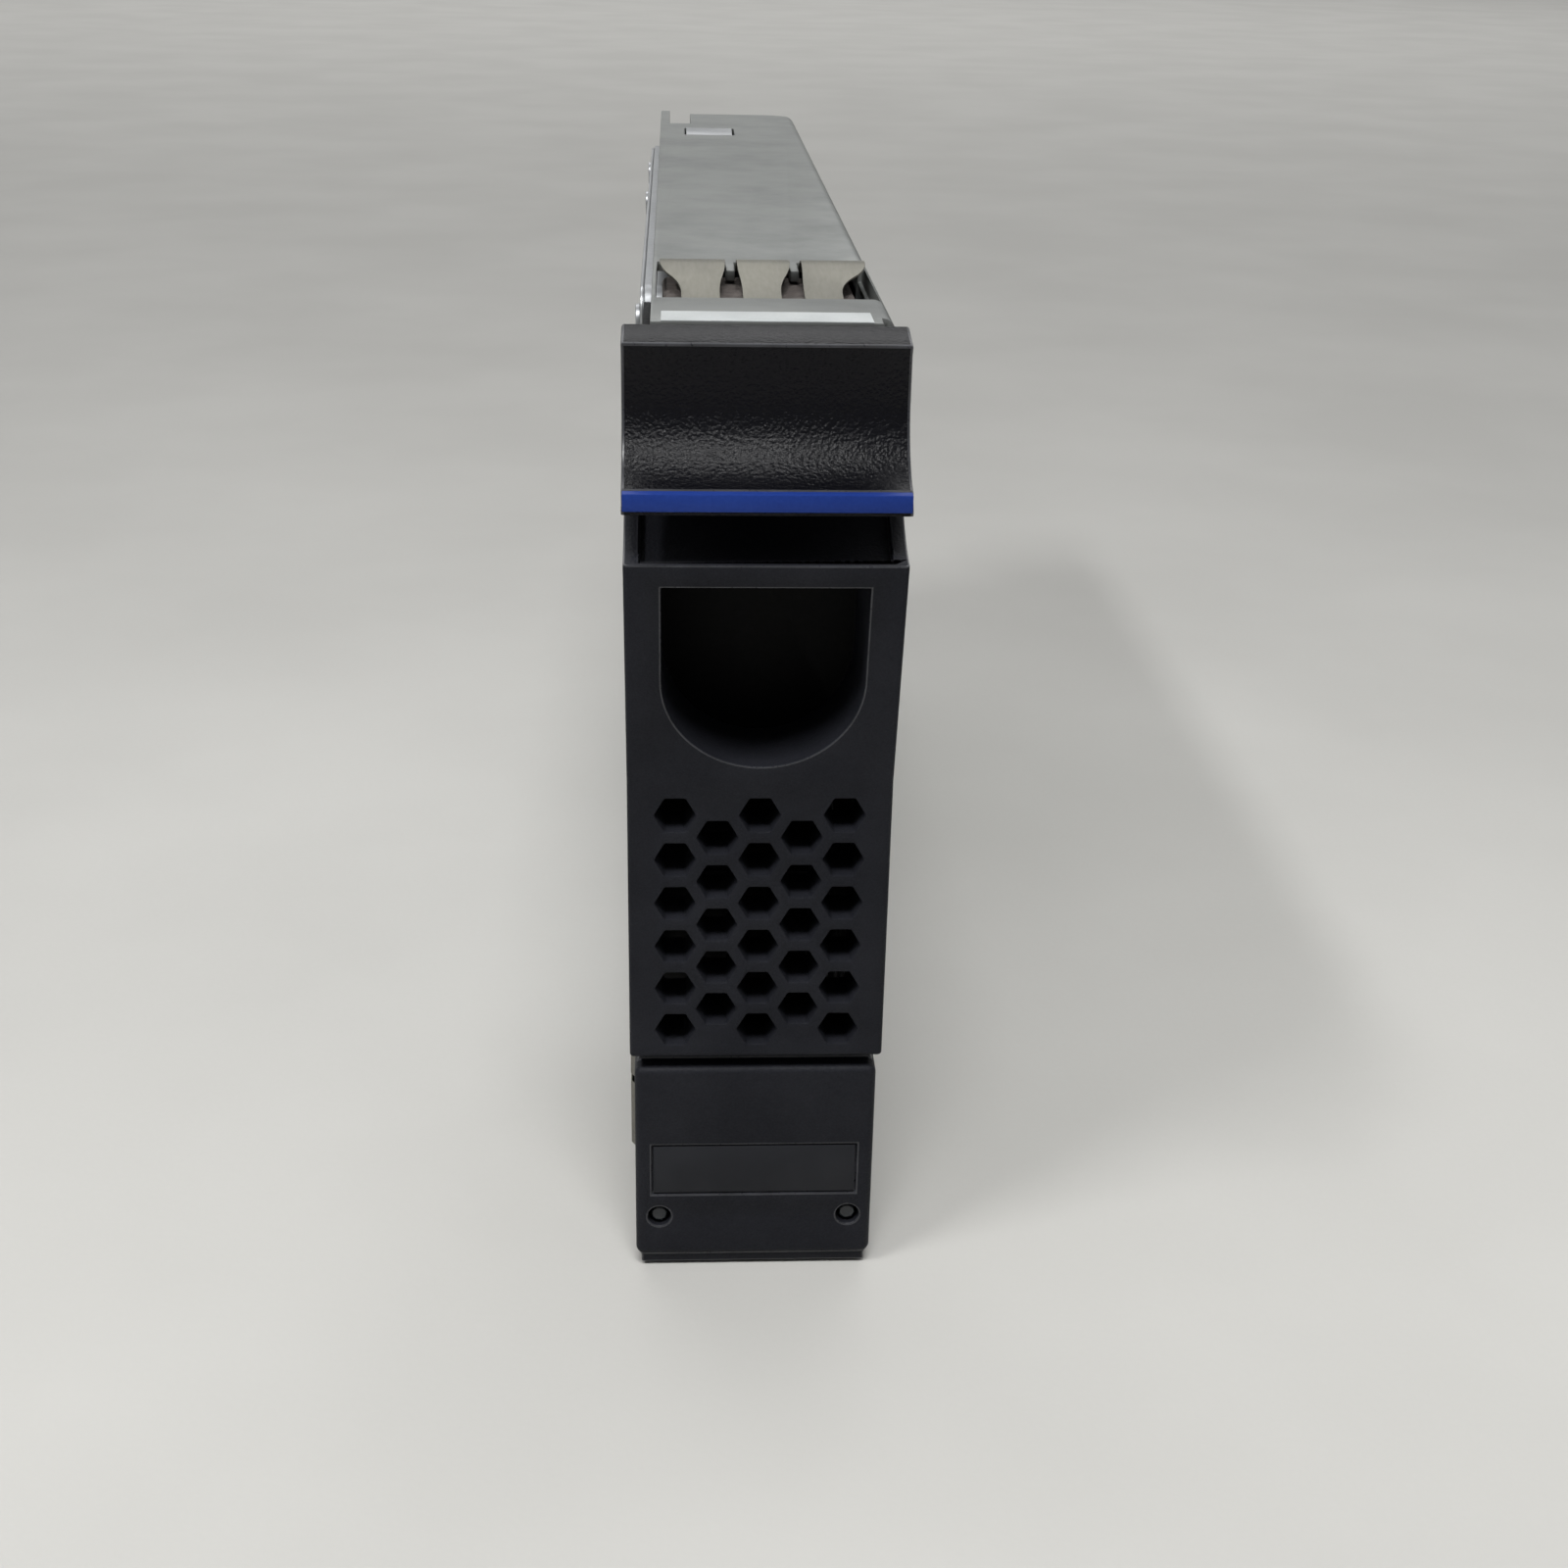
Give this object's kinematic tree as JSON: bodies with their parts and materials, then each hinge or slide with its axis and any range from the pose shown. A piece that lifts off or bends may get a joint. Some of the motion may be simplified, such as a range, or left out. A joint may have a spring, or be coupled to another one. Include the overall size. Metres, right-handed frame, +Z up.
{
  "type": "hard drive in caddy",
  "caption": "Disk drive in a folded steel plug-in carrier with a black grilled bezel, a hinged pull handle edged in blue, sprung contact fingers and a rear connector.",
  "frame": {"origin": "middle of the bounding box on the plane the carrier stands on", "axes": "+Z up with the carrier on its lower flange, +Y to the rear connector, -Y to the pull handle, +X to the closed side of the tray"},
  "size_m": [0.0288, 0.2246, 0.1101],
  "materials": {
    "black_plastic": "moulded with a fine grain",
    "blue_plastic": "smooth moulding",
    "clear_plastic": "clear polished",
    "galvanised_steel": "dull zinc coat",
    "black_steel": "black coated sheet",
    "spring_steel": "rolled bright",
    "screw_steel": "zinc plated",
    "white_label": "coated paper",
    "cast_aluminium": "cast and machined",
    "sheet_aluminium": "pressed sheet",
    "machined_aluminium": "machined",
    "gasket_rubber": "soft black",
    "circuit_board": "green mask",
    "chip_plastic": "moulded",
    "connector_plastic": "moulded",
    "lamp_plastic": "clear lens",
    "disc_plating": "mirror polished",
    "copper_wire": "lacquered",
    "bearing_steel": "ground",
    "magnet_steel": "nickel plated",
    "ramp_plastic": "moulded",
    "filter_cloth": "felted"
  },
  "bodies": {
    "carrier": {"front_bezel": "black_plastic", "lower_cap": "black_plastic", "name_plate": "black_plastic", "light_pipe_left": "clear_plastic", "light_pipe_right": "clear_plastic", "carrier_tray": "galvanised_steel", "screen_rivets": "galvanised_steel", "screen_plate": "black_steel", "roof_contacts": "spring_steel", "left_contacts": "spring_steel", "right_contacts": "spring_steel", "hinge_pin": "screw_steel", "bezel_screws": "screw_steel", "drive_screws": "screw_steel", "cover_screws": "screw_steel", "board_screws": "screw_steel", "card_screws": "screw_steel", "roof_label": "white_label", "drive_base": "cast_aluminium", "drive_cover": "sheet_aluminium", "spindle_motor": "machined_aluminium", "cover_gasket": "gasket_rubber", "drive_board": "circuit_board", "bridge_card": "circuit_board", "board_chips": "chip_plastic", "drive_plug": "connector_plastic", "card_socket": "connector_plastic", "shelf_plug": "connector_plastic", "status_lamps": "lamp_plastic", "motor_stator": "copper_wire", "arm_pivot": "bearing_steel", "lower_yoke": "magnet_steel", "upper_yoke": "magnet_steel", "magnets": "magnet_steel", "parking_ramp": "ramp_plastic", "air_filter": "filter_cloth"},
    "handle": {"handle": "black_plastic", "blue_strip": "blue_plastic", "catch_spring": "spring_steel"},
    "catch": {"release_catch": "black_plastic"},
    "disc_pack": {"spindle_hub": "machined_aluminium", "discs": "disc_plating", "disc_spacers": "machined_aluminium", "disc_clamp": "machined_aluminium", "clamp_screws": "screw_steel"},
    "actuator": {"head_arm": "machined_aluminium", "head_blades": "spring_steel", "voice_coil": "copper_wire"}
  },
  "joints": [
    {"name": "handle_hinge", "type": "hinge", "parent": "carrier", "child": "handle", "pos_m": [0, -0.10155, 0.1056], "axis": [-1, 0, 0], "range_deg": [0, 85]},
    {"name": "catch_slide", "type": "slide", "parent": "handle", "child": "catch", "axis": [0, 0, 1], "range_m": [0, 0.0015], "stiffness_N_per_m": 400, "springref_m": -0.002, "deforming": ["catch_spring"]},
    {"name": "disc_spin", "type": "hinge", "parent": "carrier", "child": "disc_pack", "pos_m": [0, -0.00615, 0.0547], "axis": [1, 0, 0], "continuous": true},
    {"name": "arm_swing", "type": "hinge", "parent": "carrier", "child": "actuator", "pos_m": [0, 0.04985, 0.0419], "axis": [1, 0, 0], "range_deg": [0, 38]}
  ]
}
